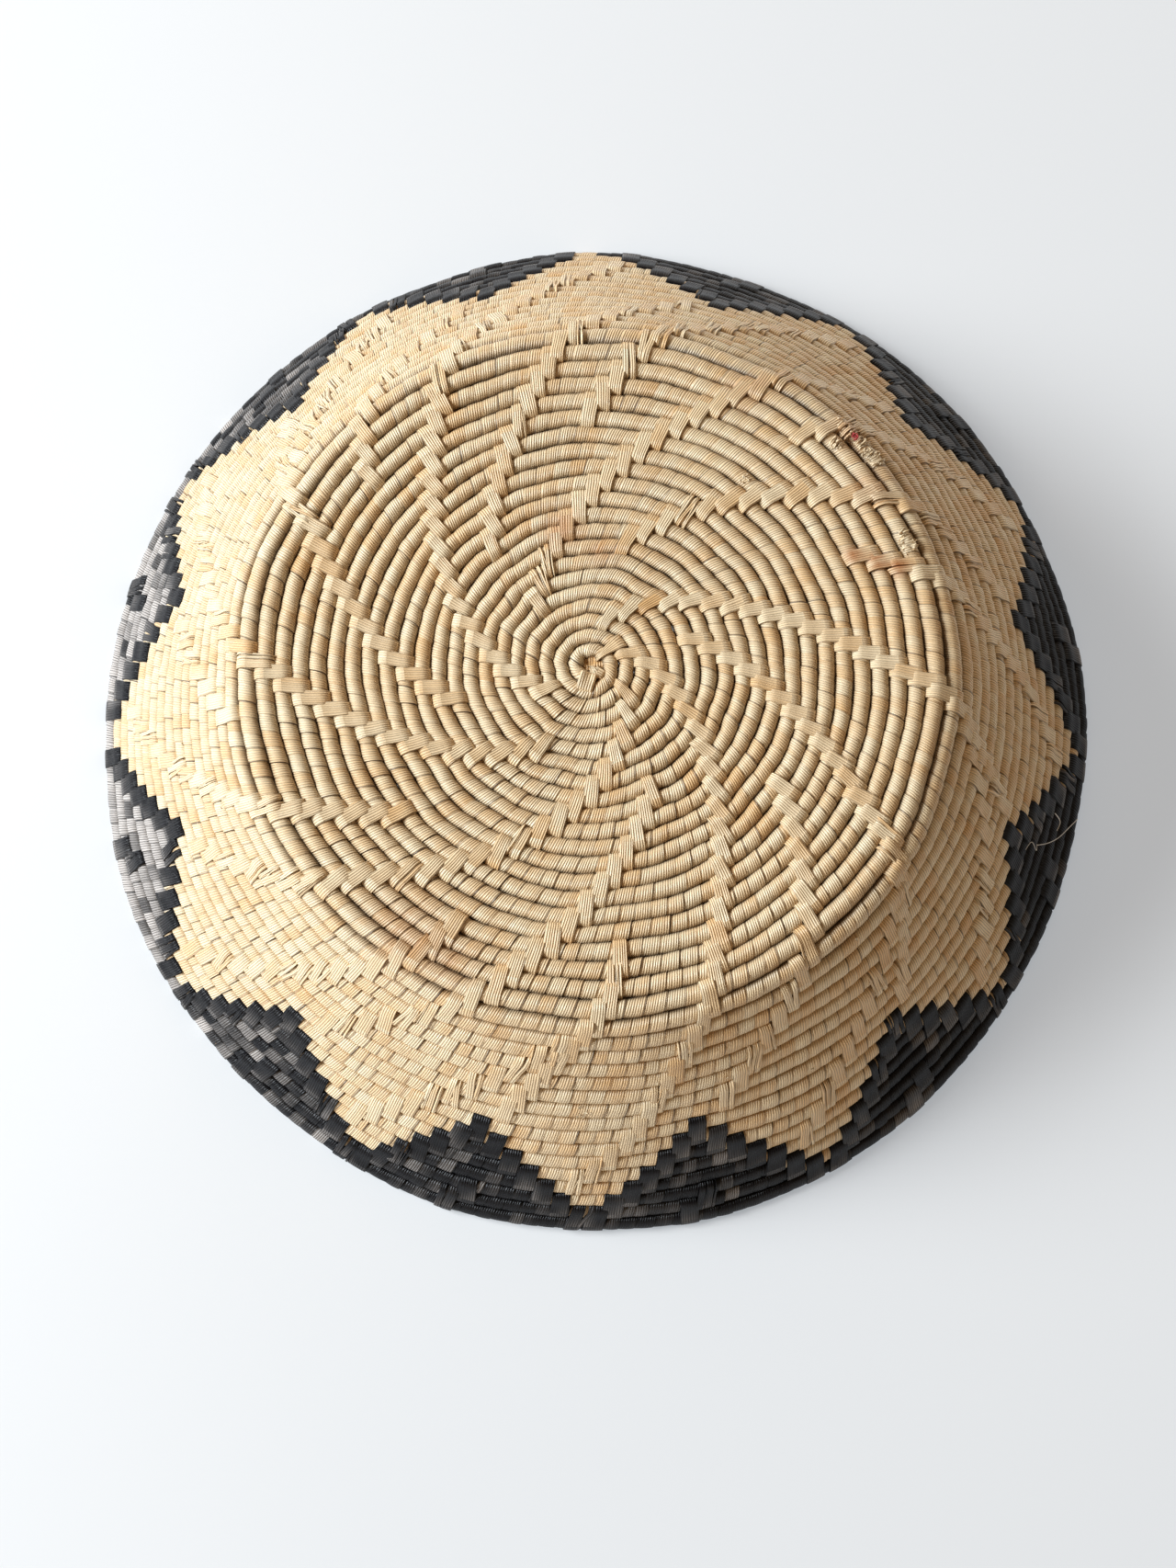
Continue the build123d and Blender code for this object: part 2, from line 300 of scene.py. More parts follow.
def natural_stitches():
    dyed = [t for azimuth in MOTIF_AZIMUTHS for t in dyed_stitches(azimuth)]
    places = []
    for index, azimuth in enumerate(MOTIF_AZIMUTHS):
        tip_line = spoke(azimuth, TIP_SPOKE_STARTS[index], TIP_SPOKE_LAGS[index], dyed)
        places += [t for t in tip_line if t < TIP_TURN + 1]
        places += spoke(midway(index), GAP_SPOKE_STARTS[index], GAP_SPOKE_LAGS[index], dyed)
    return places


# ---- mesh building ------------------------------------------------------------------------------
class Sheaf:
    """Grids of points gathered into one mesh, with what the material needs at each point."""

    def __init__(self):
        self.points, self.quads, self.strip, self.tone = [], [], [], []
        self.count = 0

    def add(self, grid, strip, tone):
        """Adds grids, shaped (..., rows, columns, 3), with two triples of values at each point.

        `strip` is across, along and chance, and `tone` is shade, stain and depth, where depth is painted
        shade.
        """
        *_, rows, columns, _ = grid.shape
        flat = grid.reshape(-1, rows * columns, 3)
        index = np.arange(rows * columns).reshape(rows, columns)
        quad = np.stack([index[:-1, :-1], index[:-1, 1:], index[1:, 1:], index[1:, :-1]], -1).reshape(-1, 4)
        starts = self.count + np.arange(len(flat)) * rows * columns
        self.quads.append((quad[None] + starts[:, None, None]).reshape(-1, 4))
        self.points.append(flat.reshape(-1, 3))
        self.strip.append(strip.reshape(-1, 3))
        self.tone.append(tone.reshape(-1, 3))
        self.count += flat.shape[0] * flat.shape[1]

    def build(self, name, material):
        mesh = bpy.data.meshes.new(name)
        points = (np.concatenate(self.points) / 1000).astype(np.float32)
        quads = np.concatenate(self.quads).astype(np.int32)
        mesh.vertices.add(len(points))
        mesh.vertices.foreach_set("co", points.ravel())
        mesh.loops.add(quads.size)
        mesh.loops.foreach_set("vertex_index", quads.ravel())
        mesh.polygons.add(len(quads))
        mesh.polygons.foreach_set("loop_start", np.arange(0, quads.size, 4, dtype=np.int32))
        mesh.polygons.foreach_set("use_smooth", np.ones(len(quads), dtype=bool))
        for key, values in (("strip", self.strip), ("tone", self.tone)):
            layer = mesh.attributes.new(key, "FLOAT_VECTOR", "POINT")
            layer.data.foreach_set("vector", np.concatenate(values).astype(np.float32).ravel())
        mesh.update(calc_edges=True)
        mesh.validate()
        mesh.materials.append(material)
        obj = bpy.data.objects.new(name, mesh)
        bpy.context.scene.collection.objects.link(obj)
        return obj


# Reddish stains on the crown: x, y, reach, strength.
STAINS = ((114, 50, 4, 0.8), (124.5, 47, 4, 1.0), (134, 44, 4, 1.0), (112, 108, 8, 0.35),
          (122, 82, 10, 0.3), (-15, 63, 9, 0.5), (4, 52, 7, 0.4), (-82, -118, 17, 0.35),
          (-60, -132, 12, 0.3), (70, 128, 12, 0.3))


def stain_at(points):
    x, y = points[..., 0], points[..., 1]
    total = np.zeros(x.shape)
    for cx, cy, reach, strength in STAINS:
        total += strength * np.exp(-((x - cx)**2 + (y - cy)**2) / reach**2)
    return np.clip(total, 0, 1)


def tones(points, shade, depth):
    shade = np.broadcast_to(shade, points.shape[:-1])
    return np.stack([shade, stain_at(points), np.broadcast_to(depth, points.shape[:-1])], -1)


# ---- wraps --------------------------------------------------------------------------------------
# The dyed wraps are painted palest at this share of a turn, on the side that faces the window, as painted
# light, and darkest on the other side, as painted shade: by how much, and over what share of a turn.
PAINTED_LIGHT_AT = 0.75
PAINTED_LIGHT_MOST = 5.6
PAINTED_SHADE_MOST = -1.4
PAINTED_SIDES_REACH = 0.1
# How shades of leaf vary from wrap to wrap, and how much more dyed wraps vary with the painted light.
SHADE_SPREAD = 0.16
DYED_SPREAD = 6
PAINTED_LIGHT_SPREAD = 0.9
SPLICE_CHANCE = 0.07


def wrap_bounds():
    """Where one wrap ends and the next begins, as distances along the coil."""
    total = RUN_TABLE[-1]
    enough = int(total / STRIP_WIDTH * 1.3)
    widths = np.clip(rng.normal(STRIP_WIDTH, STRIP_WIDTH_SPREAD, enough), *STRIP_WIDTH_LIMITS)
    bounds = np.concatenate([[0], np.cumsum(widths)])
    bounds = bounds[bounds < total]
    bounds[-1] = total
    return bounds


def owners(turns):
    """The name of the piece that each place on the coil belongs to."""
    names = []
    spare = 1.0 / (2 * math.pi * RIM_RADIUS)
    stretches = [(motif_edges(azimuth, row), number)
                 for number, azimuth in enumerate(MOTIF_AZIMUTHS, start=1)
                 for row in range(1, MOTIF_ROWS)]
    for here in turns:
        dyed = next((n for (first, last), n in stretches if first - spare <= here <= last + spare), 0)
        if dyed:
            names.append(f"motif_{dyed:02d}")
        elif here >= RIM_TURN:
            names.append("rim_turn" if here < RIM_TURN + 0.5 else "coil_end")
        else:
            where = "crown" if here < CROWN_TURNS else "wall"
            names.append(f"{where}_turn_{max(int(here), 1):02d}")
    return np.array(names)


def wrap_lift(turns, around, open_joint):
    """How far each point of the wraps stands off the bundle: one edge lies on the wrap before."""
    count = len(turns)
    on_wall = smooth(turns, CROWN_TURNS, CROWN_TURNS + 3)
    over = (0.35 + open_joint) * STRIP_EDGE * (1 + 0.25 * on_wall)
    bulge = (rng.uniform(0.03, 0.16, count)[:, None, None] + 0.12 * open_joint) * (1 + 0.3 * on_wall)
    lift = over * (1 - ACROSS) + bulge * np.clip(1 - (2 * ACROSS - 1)**2, 0, 1)
    lift[..., 0] = -0.15
    return lift * (1 + 0.25 * np.sin(3 * around + rng.uniform(0, 6, count)[:, None])[..., None])


def wrap_shades(starts, dyed):
    """One shade for each wrap: higher is paler."""
    part = turns_along(starts) % 1.0
    # Painted light and shade, held in `faded`: dyed wraps are paler on the window side and darker on the
    # shaded side.
    faded = PAINTED_LIGHT_MOST * np.exp(-((part - PAINTED_LIGHT_AT) / PAINTED_SIDES_REACH)**2)
    faded = faded + PAINTED_SHADE_MOST * np.exp(-((part - PAINTED_LIGHT_AT + 0.5) / PAINTED_SIDES_REACH)**2)
    spread = np.where(dyed, DYED_SPREAD + PAINTED_LIGHT_SPREAD * faded, 1)
    return (rng.normal(0, SHADE_SPREAD, len(starts)) * spread + dyed * faded)[:, None, None]


def add_wraps(sheaves):
    bounds = wrap_bounds()
    starts, ends = bounds[:-1], bounds[1:]
    count = len(starts)
    around_share = np.linspace(0, 1, ROUND_STEPS + 1)
    # The seam between one time round and the next lies in the groove between two rows.
    around = around_share * 2 * math.pi - math.pi / 2
    after = np.append(ends[1:], ends[-1] + STRIP_WIDTH)
    low = starts[:, None] + (ends - starts)[:, None] * around_share
    high = ends[:, None] + (after - ends)[:, None] * around_share
    width = (high - low)[..., None]
    run = low[..., None] + width * ACROSS
    turns = turns_along(run)
    open_joint = (rng.random(count)**1.8)[:, None, None]
    lift = wrap_lift(turns, around, open_joint)
    points = place(turns, np.broadcast_to(around[:, None], turns.shape), lift)
    # A new strip is spliced in now and then, and its grain and tone start afresh.
    spliced = np.cumsum(rng.random(count) < SPLICE_CHANCE)
    chance = rng.random(spliced[-1] + 1)[spliced]
    along = (np.arange(count)[:, None] + around_share) * 25.0
    strip = np.stack([width * ACROSS + chance[:, None, None] * 40,
                      np.broadcast_to(along[..., None], turns.shape),
                      np.broadcast_to(chance[:, None, None], turns.shape)], -1)
    # The part of a wrap on the outside of the shell lies a quarter of its width further on.
    whose = owners(turns_along(starts + 0.75 * (ends - starts)))
    dyed = np.array([material_for(name) is DYED for name in whose])
    shade = wrap_shades(starts, dyed)
    # Painted shade: `depth` darkens each wrap in the groove between rows, less on the wall, and at the
    # tucked edge of an open joint.
    tucked = np.where(ACROSS < 0.05, np.minimum(1.15 * open_joint, 1), 0.0)
    groove = 1 - 0.6 * smooth(turns, CROWN_TURNS + 0.5, CROWN_TURNS + 4)
    depth = np.clip(groove * np.abs(np.sin(around))[:, None]**5 + tucked, 0, 1)
    tone = tones(points, shade, depth)
    for name in np.unique(whose):
        mine = whose == name
        sheaves[name].add(points[mine], strip[mine], tone[mine])


# ---- long stitches ------------------------------------------------------------------------------
# A stitch's section: shares of its width, and how far each stands up, with its sides turned down.
STITCH_ACROSS = np.array([0.0, 0.0, 0.06, 0.2, 0.38, 0.62, 0.8, 0.94, 1.0, 1.0])
STITCH_RISE = np.array([-0.6, 0.34, 0.46, 0.54, 0.58, 0.58, 0.54, 0.46, 0.34, -0.6])
STITCH_LIFT = 0.42


def band_loop():
    """Once round a stitch: angle about a row, share of the way to the outer row, arc or not."""
    quarter = np.linspace(0, math.pi, 13)
    angle = np.concatenate([quarter, [math.pi, math.pi], math.pi + quarter, [2 * math.pi] * 3])
    share = np.concatenate([np.ones(13), [0.67, 0.33], np.zeros(13), [0.33, 0.67, 1.0]])
    return angle, share


def stitch_grid(turns, offset, width, lean, lift, curl):
    """Points of bands around the row at each place and the row before it.

    A band stands proud over the inner row and lies lower on its own.  `curl` lifts one corner of it,
    the leading one where it is positive.
    """
    angle, share = band_loop()
    lean_share = np.where(share == 1, 0.5 + 0.5 * np.sin(angle), share - 0.5)
    lean_share = np.where(share == 0, -0.5 - 0.5 * np.abs(np.sin(angle)), lean_share)
    shift = (offset[:, None, None] + (STITCH_ACROSS - 0.5) * width[:, None, None]
             + lean[:, None, None] * lean_share[:, None])
    around_mm = 2 * math.pi * profile(row_length(turns))[0]
    here = turns[:, None, None] + shift / around_mm[:, None, None]
    length_a, size_a = row_state(here)
    length_b, size_b = row_state(np.maximum(here - 1, COIL_START))
    radius_a, height_a, _ = profile(length_a)
    radius_b, height_b, _ = profile(length_b)
    gap = np.hypot(radius_a - radius_b, height_a - height_b)
    out_r, out_z = (radius_a - radius_b) / gap, (height_a - height_b) / gap
    angle, share = angle[:, None], share[:, None]
    size = size_b + (size_a - size_b) * share
    sag = 0.30 * np.where((share > 0) & (share < 1), 1.0, 0.0)
    proud = np.where(angle > math.pi, 1.0 - 0.5 * share, 0.5)
    curl = curl[:, None, None]
    corner = np.where(curl > 0, STITCH_ACROSS, 1 - STITCH_ACROSS)**2
    peel = np.abs(curl) * corner * np.exp(-((angle - 1.72 * math.pi) / 0.55)**2) * (share < 0.5)
    reach = size * squareness(angle, here) + STITCH_LIFT + STITCH_RISE * proud
    reach = reach + lift[:, None, None] + peel - sag
    sine, cosine = np.sin(angle), np.cos(angle)
    radius = radius_b + (radius_a - radius_b) * share + reach * (sine * out_r - cosine * out_z)
    height = height_b + (height_a - height_b) * share + reach * (sine * out_z + cosine * out_r)
    turn = 2 * math.pi * here
    points = np.stack([radius * np.sin(turn), radius * np.cos(turn), height], -1)
    return on_table(warp(points, length_b + (length_a - length_b) * share))


def add_stitches(sheaf, places, widths, split, peeled, faded=0.0):
    """One band or several narrow strands for each stitch.

    `split` and `peeled` are the chances of strands and of a lifted corner, and `faded` how much paler
    a stitch is on its outer row.
    """
    turns, offset, width, lean, lift, curl = [], [], [], [], [], []
    for here, wide in zip(places, widths):
        strands = rng.integers(2, 5) if rng.random() < split else 1
        cuts = np.sort(rng.uniform(0.15, 0.85, strands - 1))
        edges = np.concatenate([[0], cuts, [1]]) - 0.5
        tilt = rng.normal(1.2, 0.6)
        wide *= rng.uniform(0.88, 1.02)
        for first, last in zip(edges[:-1], edges[1:]):
            gap = 0.35 if strands > 1 else 0.0
            turns.append(here)
            offset.append(wide * (first + last) / 2)
            width.append(max(wide * (last - first) - gap, 0.5))
            lean.append(tilt + (rng.normal(0, 0.6) if strands > 1 else 0.0))
            lift.append(rng.uniform(0.0, 0.15) + (rng.uniform(0, 0.2) if strands > 1 else 0.0))
            curl.append(rng.choice((-1, 1)) * rng.uniform(0.3, 1.1) if rng.random() < peeled else 0.0)
    turns, offset, width, lean, lift, curl = map(np.array, (turns, offset, width, lean, lift, curl))
    points = stitch_grid(turns, offset, width, lean, lift, curl)
    chance = rng.random(len(turns))[:, None, None]
    along = np.linspace(0, 40, points.shape[1])[:, None]
    strip = np.stack(np.broadcast_arrays(
        (STITCH_ACROSS * width[:, None, None]) + chance * 40, along + chance * 300, chance), -1)
    shade = rng.normal(0, 0.3, len(turns))[:, None, None] + faded * band_loop()[1][:, None]
    # Painted shade along the turned-down sides of each stitch.
    edge = np.where(np.abs(STITCH_ACROSS - 0.5) > 0.48, 0.5, 0.0)
    sheaf.add(points, strip, tones(points, shade, edge))


# Which turns each piece's stitches lie on.
STITCH_GROUPS = (("crown_stitches_inner", 0, 11), ("crown_stitches_outer", 11, 20),
                 ("wall_stitches_upper", 20, 28), ("wall_stitches_lower", 28, 37))
# A stitch's width as a share of its line's step, then the chances of strands and of a lifted corner.
CROWN_STITCH = (1.2, 0.06, 0.15)
WALL_STITCH = (0.95, 0.36, 0.6)
MOTIF_SPLIT = 0.2
MOTIF_PEELED = 0.4
MOTIF_FADED = 1.1


def add_all_stitches(sheaves):
    natural = natural_stitches()
    for name, first, last in STITCH_GROUPS:
        places = [t for t in natural if first <= t < last]
        fill, split, peeled = WALL_STITCH if first >= CROWN_TURNS else CROWN_STITCH
        widths = [stitch_step(t) * fill for t in places]
        add_stitches(sheaves[name], places, widths, split, peeled)
    for number, azimuth in enumerate(MOTIF_AZIMUTHS, start=1):
        places = dyed_stitches(azimuth)
        widths = [MOTIF_STITCH] * len(places)
        add_stitches(sheaves[f"motif_{number:02d}"], places, widths, MOTIF_SPLIT, MOTIF_PEELED, MOTIF_FADED)


# ---- the knot in the eye, and wear ---------------------------------------------------------------
def add_flap(sheaf, centre, width, depth, turned, rise, shade):
    """A folded end of strip over the eye, with its two ends tucked down between the rows."""
    u, v = np.meshgrid(np.sin(np.linspace(-1, 1, 17) * math.pi / 2), np.linspace(-1, 1, 25), indexing="ij")
    across, along = u * width / 2, v * depth / 2
    x = centre[0] + across * math.cos(turned) - along * math.sin(turned)
    y = centre[1] + across * math.sin(turned) + along * math.cos(turned)
    tuck = np.maximum(np.abs(v)**7, 0.6 * np.abs(u)**24)
    z = CROWN_TOP + 3.2 + rise + 0.25 * (1 - u**2) + 0.35 * (1 - v**2) - (2.2 + rise) * tuck
    points = warp(np.stack([x, y, z], -1), np.hypot(x, y))
    strip = np.stack([across + 20 * rise, along, np.full(u.shape, 0.3 + rise / 9)], -1)
    # Painted shade where the flap's ends tuck down between the rows.
    sheaf.add(points, strip, tones(points, shade, np.clip(tuck - 0.3, 0, 1)))


def add_knot(sheaf):
    add_flap(sheaf, (1.6, -0.8), 14.5, 12.0, 0.0, -2.5, -2.5)
    add_flap(sheaf, (4.3, -3.0), 4.6, 5.4, math.radians(60), -0.4, -0.6)
    add_flap(sheaf, (-1.4, -7.2), 7.4, 10.0, math.radians(-18), 1.3, 0.3)


def surface(turns, around, lift):
    """A point on the rows, and the directions out of, along and across the row there."""
    near = place(np.array([turns, turns, turns + 1e-4, turns]),
                 np.array([around, around, around, around + 0.1]),
                 np.array([lift, lift + 1.0, lift, lift]))
    out, along, across = near[1] - near[0], near[2] - near[0], near[3] - near[0]
    along, across = along / np.linalg.norm(along), across / np.linalg.norm(across)
    return near[0], out, along, across


def add_slivers(sheaf, middle, spread, count, longest):
    """Broken bits of leaf that stand up around a worn place; the spread is in millimetres."""
    for _ in range(count):
        turns = middle + rng.normal(0, spread[0]) / (2 * math.pi * radius_at(middle))
        base, out, along, across = surface(turns, rng.normal(0, spread[1]), 0.05)
        heading = rng.uniform(0, 2 * math.pi)
        ahead = along * math.cos(heading) + across * math.sin(heading)
        aside = np.cross(out, ahead)
        length, width = rng.uniform(0.4, 1) * longest, rng.uniform(0.5, 2.2)
        s, t = np.meshgrid(np.linspace(0, 1, 8), np.linspace(-0.5, 0.5, 3), indexing="ij")
        curl = rng.uniform(0.5, 2.6)
        rise = length * (1 - np.cos(curl * s)) / curl * rng.uniform(0.3, 0.8)
        reach = length * np.sin(curl * s) / curl
        wide = width * (1 - 0.75 * s**2) * t
        points = (base + reach[..., None] * ahead + (rise + 0.1)[..., None] * out
                  + (wide + 0.3 * s**2 * rng.normal())[..., None] * aside)
        strip = np.stack([wide + rng.uniform(0, 40), s * length, np.full(s.shape, rng.random())], -1)
        # Painted shade, darker towards each sliver's foot on the row.
        sheaf.add(on_table(points), strip, tones(points, rng.normal(1.0, 0.9), 0.35 * (1 - s)))


def add_crumple(sheaf, row, azimuth, length, arc):
    """A rucked scrap of leaf lying over a row, its edges down on the row."""
    middle = turns_at(row, azimuth)
    u, v = np.meshgrid(np.linspace(-1, 1, 34), np.linspace(-1, 1, 22), indexing="ij")
    rucks = np.zeros(u.shape)
    for _ in range(26):
        at_u, at_v, heading = rng.uniform(-1, 1), rng.uniform(-1, 1), rng.uniform(0, math.pi)
        aside = (u - at_u) * math.cos(heading) * 1.4 + (v - at_v) * math.sin(heading)
        ahead = (v - at_v) * math.cos(heading) - (u - at_u) * math.sin(heading) * 1.4
        rucks += rng.normal(0, 0.75) * np.exp(-(aside / 0.11)**2 - (ahead / 0.5)**2)
    hold = (1 - u**4) * (1 - v**4)
    turns = middle + u * (length / 2) * (1 + 0.2 * v) / (2 * math.pi * radius_at(middle))
    lift = 0.2 + hold * (0.75 + rucks)
    points = place(turns, v * arc, lift)
    strip = np.stack([u * length / 2, v * 4, np.full(u.shape, rng.random())], -1)
    # Painted shade in the hollows between the rucks, and a little all over.
    sheaf.add(on_table(points), strip, tones(points, 2.6, np.clip(0.15 - 0.7 * rucks, 0, 0.85)))


def add_thread(sheaf, route, radius):
    """A fine round thread along a smooth curve through these points."""
    route = np.array(route, float)
    knots = np.linspace(0, 1, len(route))
    steps = np.linspace(0, 1, 12 * len(route))
    weights = np.exp(-((steps[:, None] - knots) * (len(route) - 1) / 0.75)**2)
    line = (weights / weights.sum(1, keepdims=True)) @ route
    ahead = np.gradient(line, axis=0)
    ahead /= np.linalg.norm(ahead, axis=1, keepdims=True)
    aside = np.cross(ahead, (0.1, 0.2, 1.0))
    aside /= np.linalg.norm(aside, axis=1, keepdims=True)
    upward = np.cross(aside, ahead)
    turn = np.linspace(0, 2 * math.pi, 7)[:, None]
    points = line[:, None] + radius * (np.cos(turn) * aside[:, None] + np.sin(turn) * upward[:, None])
    shape = points.shape[:-1]
    strip = np.stack([np.broadcast_to(turn[:, 0] / 3, shape), np.broadcast_to(steps[:, None] * 20, shape),
                      np.full(shape, 0.4)], -1)
    sheaf.add(on_table(points), strip, tones(points, 0.0, 0.0))


# Worn places: row, azimuth, spread along and around the row, how many slivers, the longest in millimetres.
FRAYED = ((21, 315.9, (2.6, 0.7), 110, 4.4), (21, 322.0, (2.8, 0.6), 80, 4.0),
          (20, 316.9, (1.6, 0.4), 22, 3.0), (20, 338.4, (2.2, 0.6), 60, 3.4),
          (15, 308.0, (1.6, 0.5), 7, 2.0), (27, 92.0, (2.0, 0.5), 8, 3.0))
STRAY_SLIVERS = 46
# Rucked scraps there: row, azimuth, length along the row and half angle around it.
CRUMPLED = ((21, 315.4, 10.0, 1.25), (21, 319.0, 6.0, 0.9), (21, 322.2, 9.5, 1.0), (20, 316.4, 5.0, 0.7),
            (20, 338.4, 7.5, 0.9), (20, 336.2, 4.0, 0.6))
# Loose threads: row, azimuth and height off the row of each point, then the thread's radius.
LOOSE_ENDS = ((((32, 17.6, 0.6), (33, 16.6, 2.0), (34, 15.2, 2.6), (35, 13.2, 2.4), (36, 11.4, 2.0)), 0.20),
              (((31, 19.2, 0.5), (31, 17.4, 2.4), (32, 18.6, 2.6), (32, 17.2, 1.0)), 0.16),
              (((34, 14.5, 0.6), (34, 13.1, 2.4), (33, 12.6, 1.6)), 0.25))


def wear():
    """Frayed places on the crown's edge, a snag of red thread there and loose ends near the rim."""
    frayed, red, pale = Sheaf(), Sheaf(), Sheaf()
    for row, azimuth, spread, count, longest in FRAYED:
        add_slivers(frayed, turns_at(row, azimuth), spread, count, longest)
    for _ in range(STRAY_SLIVERS):
        add_slivers(frayed, rng.uniform(21, 35), (3.0, 0.9), 1, 2.8)
    for row, azimuth, length, arc in CRUMPLED:
        add_crumple(frayed, row, azimuth, length, arc)
    spot, out, along, across = surface(turns_at(21, 318.0), -0.5, 0.8)
    tangle = [spot + along * rng.normal(0, 1.5) + across * rng.normal(0, 1.1) + out * rng.uniform(0.9, 1.7)
              for _ in range(16)]
    add_thread(red, tangle, 0.24)
    for route, radius in LOOSE_ENDS:
        points = [surface(turns_at(row, azimuth), 0.0, lift)[0] for row, azimuth, lift in route]
        add_thread(pale, points, radius)
    return frayed, red, pale


# ---- the bundle inside --------------------------------------------------------------------------
def add_bundle(sheaf, first, last):
    turns = turns_along(np.arange(run_at(first), run_at(last), 5.0))
    around = np.linspace(0, 2 * math.pi, 9)
    grid_turns, grid_around = np.meshgrid(turns, around, indexing="ij")
    points = place(grid_turns, grid_around, -0.75)
    along = np.broadcast_to(np.arange(len(turns))[:, None] * 5.0, grid_turns.shape)
    strip = np.stack([grid_around * 3, along, np.full(grid_turns.shape, 0.5)], -1)
    # Painted shade: the bundle is darkened all over, since it shows only down in the gaps between wraps.
    sheaf.add(points, strip, tones(points, 0.0, 1.0))


# ---- materials ----------------------------------------------------------------------------------
class Nodes:
    """Short hand for wiring a material."""

    def __init__(self, name):
        self.material = bpy.data.materials.new(name)
        self.material.use_nodes = True
        self.tree = self.material.node_tree
        self.shader = self.tree.nodes["Principled BSDF"]

    def add(self, kind, inputs=None, **settings):
        node = self.tree.nodes.new(kind)
        for key, value in settings.items():
            setattr(node, key, value)
        for key, value in (inputs or {}).items():
            self.set(node.inputs[key], value)
        return node

    def set(self, socket, value):
        if isinstance(value, bpy.types.NodeSocket):
            self.tree.links.new(value, socket)
        else:
            socket.default_value = value

    def math(self, operation, a, b=0.0, c=0.0):
        return self.add("ShaderNodeMath", {0: a, 1: b, 2: c}, operation=operation).outputs[0]

    def noise(self, vector, scale, detail=2.0, roughness=0.5):
        node = self.add("ShaderNodeTexNoise", {"Vector": vector, "Scale": scale, "Detail": detail,
                                               "Roughness": roughness})
        return node.outputs["Fac"]

    def grain(self, across, fine_across, along, fine_along, chance, detail, roughness=0.5):
        """Noise drawn out along the strip, different on each strip."""
        place_on_strip = self.vector(self.math("MULTIPLY", across, fine_across),
                                     self.math("MULTIPLY", along, fine_along), chance)
        return self.noise(place_on_strip, 1.0, detail, roughness)

    def vector(self, x, y, z):
        return self.add("ShaderNodeCombineXYZ", {0: x, 1: y, 2: z}).outputs[0]

    def attribute(self, name):
        vector = self.add("ShaderNodeAttribute", attribute_name=name).outputs["Vector"]
        return self.add("ShaderNodeSeparateXYZ", {0: vector}).outputs

    def ramp(self, value, low, high):
        node = self.add("ShaderNodeMapRange", {"Value": value, "From Min": low, "From Max": high})
        node.interpolation_type = "SMOOTHSTEP"
        return node.outputs["Result"]

    def mix(self, amount, a, b):
        node = self.add("ShaderNodeMix", data_type="RGBA")
        self.set(node.inputs[0], amount)
        self.set(node.inputs[6], a)
        self.set(node.inputs[7], b)
        return node.outputs[2]


def linear(share):
    return share / 12.92 if share < 0.0404 else ((share + 0.055) / 1.055)**2.4


def srgb(r, g, b):
    return tuple(linear(c / 255) for c in (r, g, b)) + (1.0,)


STAIN = srgb(186, 118, 68)
RIB_PITCH = 1.1
RIB_DEPTH_M = 0.0002


def leaf(name, pale, tan, groove, rough, ribs, faded, gloss=0.6, chips=None):
    """Split palm leaf: ribs along the strip, patchy colour, and painted shade where it is tucked away.

    `ribs` is how dark the lines between ribs are, partly the leaf's own veins and partly painted shade in
    the troughs, `faded` the two levels between tan and pale, and `chips` the bare leaf that shows where a
    dye has worn off.
    """
    n = Nodes(name)
    across, along, chance = n.attribute("strip")
    shade, red, depth = n.attribute("tone")
    drift = n.grain(across, 0.35, along, 0.05, chance, 3.0)
    fine = n.grain(across, 3.4, along, 0.10, chance, 3.0, 0.6)
    wander = n.math("MULTIPLY", drift, 5.0)
    rib = n.math("SINE", n.math("MULTIPLY_ADD", across, 2 * math.pi / RIB_PITCH, wander))
    patch = n.grain(across, 0.06, along, 0.03, n.math("MULTIPLY", chance, 9.0), 2.0)
    level = n.math("ADD", n.math("MULTIPLY_ADD", shade, 0.22, patch), n.math("MULTIPLY", fine, 0.35))
    colour = n.mix(n.ramp(level, *faded), tan, pale)
    # Dark lines in the troughs between ribs: partly the leaf's veins, partly painted shade where the bump
    # dips.
    lines = n.math("MULTIPLY", n.ramp(rib, -0.2, -0.95), n.ramp(fine, 0.15, 0.6))
    colour = n.mix(n.math("MULTIPLY", lines, ribs), colour, groove)
    speck = n.grain(across, 0.9, along, 0.35, chance, 4.0, 0.7)
    colour = n.mix(n.math("MULTIPLY", n.ramp(speck, 0.66, 0.78), 0.35), colour, groove)
    colour = n.mix(n.math("MULTIPLY", red, n.ramp(drift, 0.15, 0.6)), colour, STAIN)
    # Painted shade: darker by `depth` in grooves, hollows and tucked places.
    colour = n.mix(n.math("MULTIPLY", depth, 0.85), colour, groove)
    if chips:
        chip = n.math("MULTIPLY", n.ramp(speck, 0.70, 0.74), n.ramp(patch, 0.55, 0.6))
        colour = n.mix(n.math("MULTIPLY", chip, 0.9), colour, chips)
    height = n.math("ADD", n.math("MULTIPLY", rib, 0.6), n.math("MULTIPLY", fine, 1.1))
    bump = n.add("ShaderNodeBump", {"Strength": 1.0, "Distance": RIB_DEPTH_M, "Height": height})
    n.set(n.shader.inputs["Base Color"], colour)
    n.set(n.shader.inputs["Normal"], bump.outputs["Normal"])
    n.set(n.shader.inputs["Roughness"], n.math("MULTIPLY_ADD", fine, 0.25, rough))
    n.set(n.shader.inputs["Specular IOR Level"], gloss)
    return n.material


